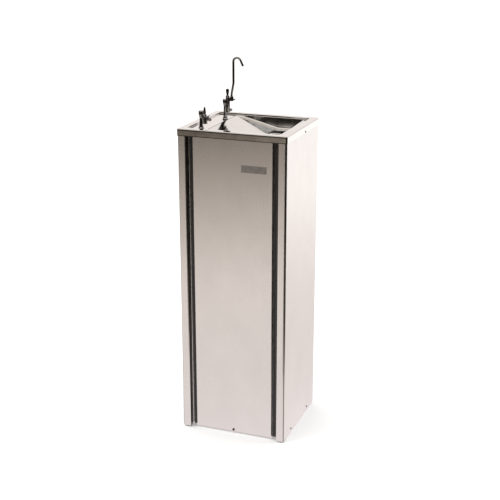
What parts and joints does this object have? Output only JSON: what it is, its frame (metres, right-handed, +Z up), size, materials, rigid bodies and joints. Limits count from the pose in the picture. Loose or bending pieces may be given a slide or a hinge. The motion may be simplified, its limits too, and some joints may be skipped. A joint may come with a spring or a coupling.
{
  "type": "drinking fountain",
  "caption": "Floor-standing refrigerated drinking fountain: stainless cabinet, drained basin, push-lever bubbler and swan-neck glass filler.",
  "frame": {"origin": "on the floor, under the middle of the cabinet", "axes": "+Z up, -Y towards the user in front, +X to the right as the user sees it"},
  "size_m": [0.3564, 0.321, 1.1942],
  "materials": {
    "satin_steel": "satin",
    "polished_steel": "polished",
    "chrome": "polished",
    "black_trim": "glossy",
    "rubber": "matte",
    "badge": "satin",
    "galvanised": "spangled",
    "screw_steel": "satin",
    "brass": "satin",
    "copper": "satin",
    "black_paint": "semi-gloss",
    "aluminium": "satin",
    "foam": "matte",
    "black_plastic": "matte",
    "grey_plastic": "matte"
  },
  "bodies": {
    "cabinet": {"badge_plate": "badge", "base_pan": "galvanised", "basin_top": "polished_steel", "bubbler_body": "chrome", "bubbler_feed_pipe": "copper", "bubbler_nozzle": "chrome", "bubbler_spring": "screw_steel", "cabinet_screws": "screw_steel", "cable_gland": "black_plastic", "cap_brackets": "galvanised", "cold_tank": "screw_steel", "compressor": "black_paint", "compressor_grommets": "rubber", "compressor_terminal_cover": "black_plastic", "condenser": "aluminium", "discharge_pipe": "copper", "drain_body": "polished_steel", "drain_gasket": "rubber", "drain_nut": "black_plastic", "drain_pipe": "grey_plastic", "drain_strainer": "polished_steel", "evaporator_coil": "copper", "fan_motor": "black_paint", "fan_motor_bracket": "galvanised", "fan_shroud": "galvanised", "filler_blanking_plug": "chrome", "filler_body": "chrome", "filler_feed_pipe": "copper", "filler_flow_screw": "chrome", "filler_spring": "screw_steel", "filter_drier": "copper", "front_panel": "satin_steel", "front_panel_screw": "screw_steel", "groove_trims": "black_trim", "inlet_pipe": "copper", "insulation_lid": "foam", "left_side_panel": "satin_steel", "lever_pins": "chrome", "liquid_pipe": "copper", "rear_panel": "galvanised", "right_side_panel": "satin_steel", "rubber_feet": "rubber", "strainer_screw": "polished_steel", "suction_pipe": "copper", "swan_neck_nut": "chrome", "switch_housing": "black_plastic", "tank_insulation": "foam", "tank_shelf": "galvanised", "tap_gaskets": "rubber", "tap_lock_nuts": "brass", "thermostat": "black_plastic", "water_inlet": "brass"},
    "bubbler_lever_body": {"bubbler_lever": "chrome"},
    "bubbler_stem_body": {"bubbler_stem": "chrome"},
    "filler_lever_body": {"filler_lever": "chrome"},
    "filler_stem_body": {"filler_stem": "chrome"},
    "swan_neck_body": {"swan_neck_tube": "chrome"},
    "fan_body": {"fan_blade": "black_plastic"},
    "knob_body": {"thermostat_knob": "black_plastic"},
    "rocker_body": {"switch_rocker": "black_plastic"}
  },
  "joints": [
    {"name": "bubbler_lever_tilt", "type": "hinge", "parent": "cabinet", "child": "bubbler_lever_body", "pos_m": [-0.1015, -0.1165, 1.0375], "axis": [-1, 0, 0], "range_deg": [0, 16], "stiffness_Nm_per_rad": 0.1, "springref_deg": -6.88},
    {"name": "bubbler_stem_slide", "type": "slide", "parent": "cabinet", "child": "bubbler_stem_body", "axis": [0, 0, -1], "range_m": [0, 0.00126], "deforming": ["bubbler_spring"]},
    {"name": "filler_lever_tilt", "type": "hinge", "parent": "cabinet", "child": "filler_lever_body", "pos_m": [-0.091, 0.0455, 1.0695], "axis": [-1, 0, 0], "range_deg": [0, 16], "stiffness_Nm_per_rad": 0.1, "springref_deg": -6.88},
    {"name": "filler_stem_slide", "type": "slide", "parent": "cabinet", "child": "filler_stem_body", "axis": [0, 0, -1], "range_m": [0, 0.00126], "deforming": ["filler_spring"]},
    {"name": "swan_neck_swivel", "type": "hinge", "parent": "cabinet", "child": "swan_neck_body", "pos_m": [-0.079, 0.05, 1.07], "axis": [0, 0, 1], "range_deg": [-75, 75]},
    {"name": "fan_spin", "type": "hinge", "parent": "cabinet", "child": "fan_body", "pos_m": [0.082, 0.0825, 0.112], "axis": [0, 1, 0], "continuous": true},
    {"name": "thermostat_knob_turn", "type": "hinge", "parent": "cabinet", "child": "knob_body", "pos_m": [-0.02, 0.152, 0.33], "axis": [0, 1, 0], "range_deg": [0, 270]},
    {"name": "switch_rocker_tilt", "type": "hinge", "parent": "cabinet", "child": "rocker_body", "pos_m": [-0.08, 0.1455, 0.33], "axis": [-1, 0, 0], "range_deg": [0, 20]}
  ],
  "couplings": [
    {"joint": "bubbler_stem_slide", "follows": "bubbler_lever_tilt", "m_per_rad": 0.0045},
    {"joint": "filler_stem_slide", "follows": "filler_lever_tilt", "m_per_rad": 0.0045}
  ]
}
